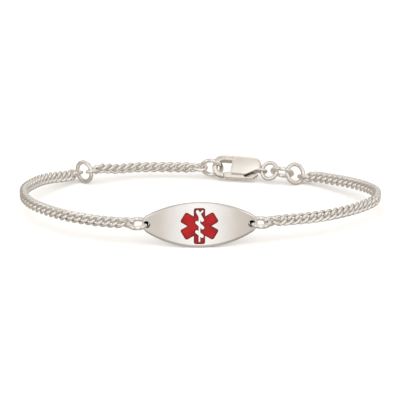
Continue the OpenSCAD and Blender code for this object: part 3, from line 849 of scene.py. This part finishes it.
def body_distance(x, y, z):
    """Distance from the clasp's body with its hook, eye and slot, negative inside it."""
    face = on_face(CHEEK_EDGE) + [(BODY_END_X, BODY_END_TOP - BODY_END_R),
                                  (BODY_END_X - BODY_END_R, BODY_END_TOP + TOP_GROWTH),
                                  (WINDOW_X, BODY_TOP + TOP_GROWTH)]
    outline = polygon_distance(x, z, face)
    end_up = (BODY_END_R + TOP_GROWTH) / BODY_END_R
    end_z = z - BODY_END_TOP + BODY_END_R
    end = np.hypot(x - BODY_END_X + BODY_END_R, end_z / end_up) - BODY_END_R
    outline = np.minimum(outline, np.maximum(end, -end_z))
    dome_r = (HALF_H ** 2 + CLASP_DOME ** 2) / (2 * CLASP_DOME)
    half_t = CLASP_T / 2 - dome_r + np.sqrt(dome_r ** 2 - np.clip(z, -3, 3) ** 2)
    half_t = half_t - END_FALL * np.clip((x - END_FALL_FROM) / (BODY_END_X - END_FALL_FROM), 0, 1.2) ** 2
    body = soft_max(outline, np.abs(y) - half_t, BODY_SOFT)
    swell = smooth(np.clip((x - SWELL_FROM) / (SWELL_TO - SWELL_FROM), 0, 1))
    thin_y = y * HOOK_T / 2 / (HOOK_T / 2 + (half_t - HOOK_T / 2) * swell)
    growth = TOP_GROWTH * smooth(np.clip((z - HOOK_Z) / HALF_H, 0, 1))
    across = np.hypot(x - HOOK_X, z - HOOK_Z) - HOOK_MID_R
    ring = bar_distance(grown(across, growth), np.where(z > 0, thin_y, y))
    to_pin = np.hypot(x - PIN_X, z - PIN_Z)
    half = np.maximum(np.minimum(x - HOOK_X, z), x - HOOK_X - HOOK_W)
    hook = np.maximum(np.maximum(ring, half), GATE_R - to_pin)
    straight = bar_distance(grown(z - HOOK_Z - HOOK_MID_R, TOP_GROWTH), thin_y)
    straight = np.maximum(straight, np.maximum(HOOK_X - x, x - WINDOW_X - BAR_IN))
    solid = soft_min(body, np.minimum(hook, straight), JOIN_SOFT)
    eye = np.hypot(np.hypot(x - EYE_X, y) - EYE_R, z - EYE_Z) - EYE_WIRE / 2
    solid = soft_min(solid, eye, JOIN_SOFT)
    slot = np.maximum(np.maximum(WINDOW_X - SLOT_OUT - x, x - SLOT_END_X),
                      np.maximum(np.abs(y) - SLOT_T / 2, z - SLOT_TOP))
    solid = np.maximum(solid, -slot)
    return np.maximum(solid, EYE_R - EYE_WIRE / 2 - np.hypot(x - EYE_X, y))


def lever_distance(x, y, z):
    """Distance from the lever, whose end is cut to an arc about its pin."""
    outline = polygon_distance(x, z, on_face(LEVER_EDGE))
    to_pin = np.hypot(x - PIN_X, z - PIN_Z)
    reach = np.where(x < PIN_X, to_pin - GATE_R + LEVER_GAP, -1)
    outline = np.minimum(np.maximum(outline, reach), to_pin - PIN_D / 2 - BOSS_WALL)
    solid = soft_max(outline, np.abs(y) - LEVER_T / 2, LEVER_SOFT)
    return np.maximum(solid, PIN_D / 2 + PIN_GAP - to_pin)


def blurred(field, sigma):
    """The field smoothed along its three axes, which rounds every edge."""
    n = int(math.ceil(3 * sigma))
    weights = np.exp(-0.5 * (np.arange(-n, n + 1) / sigma) ** 2)
    weights /= weights.sum()
    for axis in range(3):
        padded = np.pad(field, [(n, n) if a == axis else (0, 0) for a in range(3)], mode="edge")
        size = field.shape[axis]
        field = sum(w * np.take(padded, range(k, k + size), axis=axis) for k, w in enumerate(weights))
    return field


def surface_of(field, low, cell):
    """Points, normals and quads of the surface where a field on a grid is zero."""
    cells = np.array(field.shape) - 1
    total, count = np.zeros((*cells, 3)), np.zeros(cells)

    def corners(shift):
        return field[tuple(slice(first, first + many) for first, many in zip(shift, cells))]

    for axis in range(3):
        others = [a for a in range(3) if a != axis]
        for i in (0, 1):
            for k in (0, 1):
                shift = [0, 0, 0]
                shift[others[0]], shift[others[1]] = i, k
                a = corners(shift)
                shift[axis] = 1
                b = corners(shift)
                cross = (a < 0) != (b < 0)
                share = a / np.where(a == b, 1, a - b)
                place = np.zeros((*cells, 3))
                place[..., others[0]], place[..., others[1]], place[..., axis] = i, k, share
                total += place * cross[..., None]
                count += cross
    used = count > 0
    index = np.full(cells, -1)
    index[used] = np.arange(used.sum())
    local = np.argwhere(used) + total[used] / count[used][:, None]
    faces = []
    within = field < 0
    for axis in range(3):
        a, b = [other for other in range(3) if other != axis]
        here = np.take(within, range(0, cells[axis]), axis=axis)
        there = np.take(within, range(1, cells[axis] + 1), axis=axis)
        for node in np.argwhere(here != there):
            if node[a] < 1 or node[b] < 1 or node[a] >= cells[a] or node[b] >= cells[b]:
                continue
            around = []
            for da, db in ((1, 1), (0, 1), (0, 0), (1, 0)):
                c = node.copy()
                c[a] -= da
                c[b] -= db
                around.append(index[tuple(c)])
            facing = here[tuple(node)] == (axis != 1)
            faces.append(around if facing else around[::-1])
    slopes = np.stack(np.gradient(field), axis=-1)
    normals = sampled(slopes, local)
    normals /= np.linalg.norm(normals, axis=1)[:, None]
    return low + local * cell, normals, faces


def sampled(values, places):
    """Values between the nodes of a grid."""
    base = np.floor(places).astype(int)
    part = places - base
    found = 0
    for corner in np.ndindex(2, 2, 2):
        weight = np.prod([part[:, a] if corner[a] else 1 - part[:, a] for a in range(3)], axis=0)
        found = found + weight[:, None] * values[tuple((base + corner).T)]
    return found


# Size of the grid's cells, and the blur that rounds every edge of the cast pieces
CELL, SOFTNESS = 0.07, 0.09
BODY_BOX = ((-5.4, -1.8, -2.7), (6.6, 1.8, 3.2))
LEVER_BOX = ((-3.2, -1.0, -2.6), (5.2, 1.0, 0.8))
# The sides of the clasp's body are painted darker than its face, as painted shade that draws its outline; the
# lever's sides are left as bright
SIDE_FROM, SIDE_TO = 0.25, 0.85
BODY_SIDE_PAINTED_SHADE, LEVER_SIDE_PAINTED_SHADE = 0.4, 0.0


def make_cast(node, distance, box, body, side_painted_shade):
    low = np.array(box[0])
    axes = [np.arange(start, end, CELL) for start, end in zip(*box)]
    field = blurred(distance(*np.meshgrid(*axes, indexing="ij")), SOFTNESS / CELL)
    verts, normals, faces = surface_of(field, low, CELL)
    turn = clasp_frame()
    made = new_object(node + "_silver", verts @ turn + CLASP_AT - LOOP_MIDDLE, faces, clasp_silver, body,
                      normals=normals @ turn, replaces=[node])
    # Painted shade: points whose normals turn away from the face get the darker colour
    side = np.clip((1 - np.abs(normals[:, 1]) - SIDE_FROM) / (SIDE_TO - SIDE_FROM), 0, 1)
    give(made, "painted_shade", side_painted_shade * smooth(side))


# Floor and light

# The plain light is stronger in front, so that shadows lie close behind and under what throws them
AMBIENT, AMBIENT_FORWARD = 0.62, 2.8
AMBIENT_COLOUR = (1, 0.995, 0.985, 1)
# Brightness round the loop's long axis, by turns: 0 behind, 0.25 below, 0.5 in front and 0.75 above
ROUND_TONES = [(0.0, 0.47), (0.05, 0.46), (0.25, 0.49), (0.40, 0.53), (0.445, 0.68), (0.50, 0.84),
               (0.55, 1.0), (0.60, 1.10), (0.667, 0.99), (0.72, 0.80), (0.76, 0.68), (0.80, 0.72),
               (0.86, 0.96), (0.90, 0.80), (0.935, 0.48), (1.0, 0.47)]
# Brightness across, from the left side of the studio to its right
ACROSS_TONES = [(0.0, 0.75), (0.08, 0.8), (0.14, 1.25), (0.20, 0.8), (0.27, 0.66), (0.36, 0.86),
                (0.40, 0.92), (0.46, 1.06), (0.54, 1.06), (0.62, 1.0), (0.73, 0.66), (0.80, 0.8),
                (0.86, 1.25), (0.92, 0.8), (1.0, 0.75)]
# The soft white card that the plate mirrors, by the sideways slope of the reflection: its middle, half width
# and brightness in the middle and at the edge, how it falls off, and how it grows brighter beyond the edge
CARD_MIDDLE, CARD_HALF, CARD_PEAK, CARD_EDGE = 0.565, 0.3, 1.09, 0.63
CARD_FALL, CARD_RISE = 1.7, 0.12
CARD_STOPS = 24
# Where the card stands, round the loop's long axis and to either side of its middle: 1 on it, 0 off it
CARD_ROUND = [(0.40, 0), (0.43, 1), (0.475, 1), (0.50, 0)]
CARD_ACROSS = [(0.44, 1), (0.5, 0)]
# Keeps the slope finite where a reflection doesn't point to the front
NO_SLOPE = 0.001
WARM = (1.085, 1.0, 0.907)
NEUTRAL_FROM, NEUTRAL_TO = 0.6, 1.0


def warm(value):
    """A tone of the studio: the darker ones are a little warmer."""
    share = min(max((NEUTRAL_TO - value) / (NEUTRAL_TO - NEUTRAL_FROM), 0), 1)
    return [value * (1 + (w - 1) * share) for w in WARM]


def card_tone(place):
    """Brightness of the soft card at a place across it."""
    out = abs(place - CARD_MIDDLE) / CARD_HALF
    return CARD_EDGE + (CARD_PEAK - CARD_EDGE) * max(1 - out ** CARD_FALL, 0) + CARD_RISE * max(out - 1, 0)


def make_world():
    """Plain light for the floor and the enamel, and a studio of soft cards that only the metal mirrors."""
    world = bpy.data.worlds.new("studio")
    bpy.context.scene.world = world
    t = Tree(world)
    way = t.node("ShaderNodeTexCoord").outputs["Generated"]
    split = t.node("ShaderNodeSeparateXYZ")
    t.link(way, split.inputs[0])
    x, y, z = split.outputs
    front = t.math("MULTIPLY", y, -1)
    turn = t.math("MULTIPLY_ADD", t.math("ARCTAN2", z, front), 0.5 / math.pi, 0.5)
    around = t.ramp(turn, [(place, warm(value)) for place, value in ROUND_TONES])
    sideways = t.math("MULTIPLY_ADD", x, 0.5, 0.5)
    across = t.ramp(sideways, [(place, [value] * 3) for place, value in ACROSS_TONES])
    room = t.node("ShaderNodeMix", data_type="RGBA", blend_type="MULTIPLY")
    room.inputs[0].default_value = 1
    t.link(around, room.inputs[6])
    t.link(across, room.inputs[7])
    slope = t.math("ADD", t.math("DIVIDE", x, t.math("MAXIMUM", front, NO_SLOPE)), 0.5, clamp=True)
    places = [k / CARD_STOPS for k in range(CARD_STOPS + 1)]
    card = t.ramp(slope, [(place, warm(card_tone(place))) for place in places])
    band = t.ramp(turn, [(place, [share] * 3) for place, share in CARD_ROUND])
    beside = t.math("ABSOLUTE", t.math("SUBTRACT", slope, 0.5))
    near = t.ramp(beside, [(place, [share] * 3) for place, share in CARD_ACROSS])
    studio = t.mix(t.math("MULTIPLY", band, near), room.outputs[2], card)
    plain = t.node("ShaderNodeBackground")
    plain.inputs[0].default_value = AMBIENT_COLOUR
    t.link(t.math("MULTIPLY_ADD", t.math("MAXIMUM", front, 0.0), AMBIENT_FORWARD, AMBIENT), plain.inputs[1])
    seen = t.node("ShaderNodeBackground")
    t.link(studio, seen.inputs[0])
    path = t.node("ShaderNodeLightPath")
    choose = t.node("ShaderNodeMixShader")
    t.link(path.outputs["Is Glossy Ray"], choose.inputs[0])
    t.link(plain.outputs[0], choose.inputs[1])
    t.link(seen.outputs[0], choose.inputs[2])
    out = t.node("ShaderNodeOutputWorld")
    t.link(choose.outputs[0], out.inputs["Surface"])


FLOOR_COLOUR, FLOOR_HALF = (0.945, 0.925, 0.905, 1), 3.0


def make_floor():
    material = bpy.data.materials.new("floor_white")
    t = Tree(material)
    shader = t.node("ShaderNodeBsdfDiffuse")
    shader.inputs["Color"].default_value = FLOOR_COLOUR
    t.surface(shader)
    half = FLOOR_HALF
    mesh = bpy.data.meshes.new("floor")
    mesh.from_pydata([(-half, -half, 0), (half, -half, 0), (half, half, 0), (-half, half, 0)], [],
                     [(0, 1, 2, 3)])
    mesh.materials.append(material)
    floor = bpy.data.objects.new("floor", mesh)
    bpy.context.scene.collection.objects.link(floor)
    floor.visible_glossy = False


# In metres and watts
LIGHT_SIZE, LIGHT_AT, LIGHT_POWER = (0.5, 0.35), (-0.15, 0.1, 0.6), 0.4


def make_light():
    data = bpy.data.lights.new("softbox", "AREA")
    data.shape = "RECTANGLE"
    data.size, data.size_y = LIGHT_SIZE
    data.energy = LIGHT_POWER
    light = bpy.data.objects.new("softbox", data)
    bpy.context.scene.collection.objects.link(light)
    light.visible_glossy = False
    light.location = LIGHT_AT
    light.rotation_euler = (-light.location).to_track_quat("-Z", "Y").to_euler()


make_camera()
make_plate()
make_emblem()
make_enamel()
for ring_name, seam_way in RING_SEAMS.items():
    make_ring(ring_name, seam_way)
for chain_name, chain in CHAINS.items():
    make_chain(chain_name, *chain)
make_cast("clasp_body", body_distance, BODY_BOX, LOOP, BODY_SIDE_PAINTED_SHADE)
make_cast("clasp_lever", lever_distance, LEVER_BOX, LEVER, LEVER_SIDE_PAINTED_SHADE)
for pin_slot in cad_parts["clasp_pin"].material_slots:
    pin_slot.material = clasp_silver
make_world()
make_floor()
make_light()

bpy.context.scene.view_settings.view_transform = "Standard"
